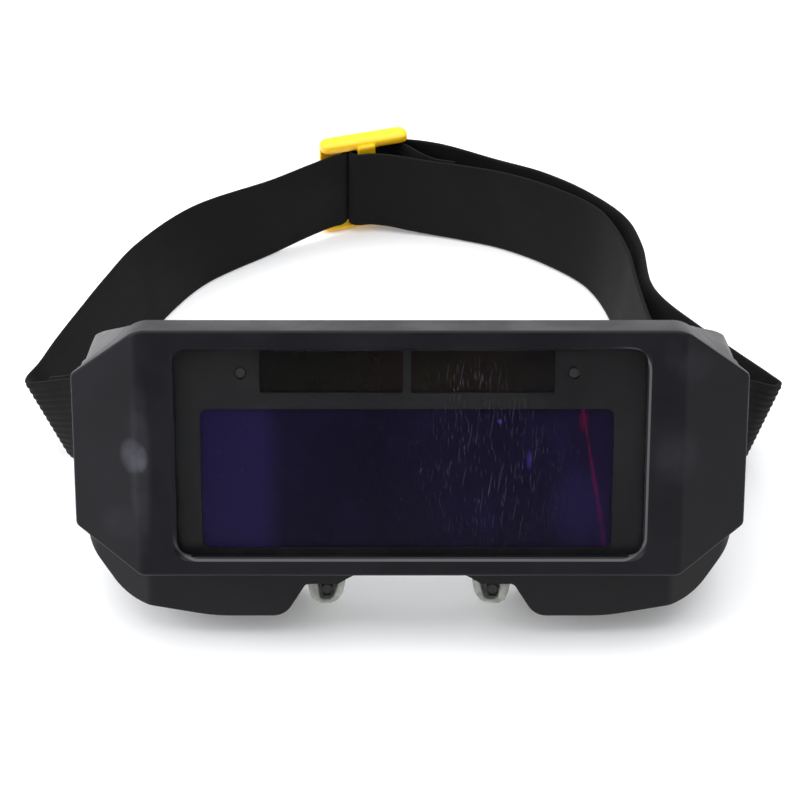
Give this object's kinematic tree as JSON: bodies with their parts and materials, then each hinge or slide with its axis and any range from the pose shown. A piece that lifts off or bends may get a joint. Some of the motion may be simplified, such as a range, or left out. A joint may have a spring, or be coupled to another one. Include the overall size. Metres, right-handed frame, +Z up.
{
  "type": "auto-darkening welding goggles",
  "caption": "Solar auto-darkening welding goggles: flat filter plate in a faceted frame on an eye shroud with swivelling nose pads and an elastic head strap with slider.",
  "frame": {"origin": "middle of the bounding box on the table the goggles stand on", "axes": "+Z up, +Y towards the back of the head, +X to the right of someone looking at the face of the goggles; the face leans back 22 degrees on its cheeks"},
  "size_m": [0.1884, 0.1762, 0.0779],
  "materials": {
    "black_plastic": "matt, fine grain",
    "shroud_plastic": "matt",
    "case_plastic": "satin",
    "clear_plate": "clear polycarbonate",
    "filter_glass": "mirror-coated glass",
    "polariser_film": "glossy film",
    "lcd_glass": "polished",
    "solar_cell": "glossy dark",
    "sensor": "domed clear over dark",
    "board": "solder resist",
    "chip": "moulded",
    "smd_parts": "ceramic",
    "flex_film": "amber film",
    "cell_steel": "bright",
    "seal_rubber": "matt",
    "pad_silicone": "translucent soft",
    "pin_steel": "polished",
    "elastic_band": "ribbed woven elastic",
    "yellow_plastic": "glossy"
  },
  "bodies": {
    "goggles": {"arc_sensor_left": "sensor", "arc_sensor_right": "sensor", "backup_cell_left": "cell_steel", "backup_cell_right": "cell_steel", "board_components": "smd_parts", "circuit_board": "board", "controller_chip": "chip", "eye_shroud": "shroud_plastic", "filter_case_back": "case_plastic", "filter_case_front": "case_plastic", "front_frame": "black_plastic", "inner_cover_lens": "clear_plate", "lcd_cell_front": "lcd_glass", "lcd_cell_rear": "lcd_glass", "lcd_flex_leads": "flex_film", "light_seal": "seal_rubber", "nose_pad_pin_left": "pin_steel", "nose_pad_pin_right": "pin_steel", "outer_cover_lens": "clear_plate", "polariser_front": "polariser_film", "polariser_middle": "polariser_film", "polariser_rear": "polariser_film", "solar_cell_left": "solar_cell", "solar_cell_right": "solar_cell", "strap_inner_run": "elastic_band", "strap_left_hem": "elastic_band", "strap_left_run": "elastic_band", "strap_outer_run": "elastic_band", "strap_sewn_loop": "elastic_band", "uv_ir_filter_glass": "filter_glass"},
    "slider": {"strap_slider": "yellow_plastic"},
    "left_nose_pad": {"nose_pad_left": "pad_silicone"},
    "right_nose_pad": {"nose_pad_right": "pad_silicone"}
  },
  "joints": [
    {"name": "slider_along_strap", "type": "slide", "parent": "goggles", "child": "slider", "axis": [0.9613, 0.2756, 0], "range_m": [0, 0.006]},
    {"name": "left_nose_pad_pivot", "type": "hinge", "parent": "goggles", "child": "left_nose_pad", "pos_m": [-0.01822, -0.07558, 0.0095], "axis": [0, -0.9272, 0.3746], "range_deg": [-8, 8]},
    {"name": "right_nose_pad_pivot", "type": "hinge", "parent": "goggles", "child": "right_nose_pad", "pos_m": [0.02098, -0.07558, 0.0095], "axis": [0, -0.9272, 0.3746], "range_deg": [-8, 8]}
  ]
}
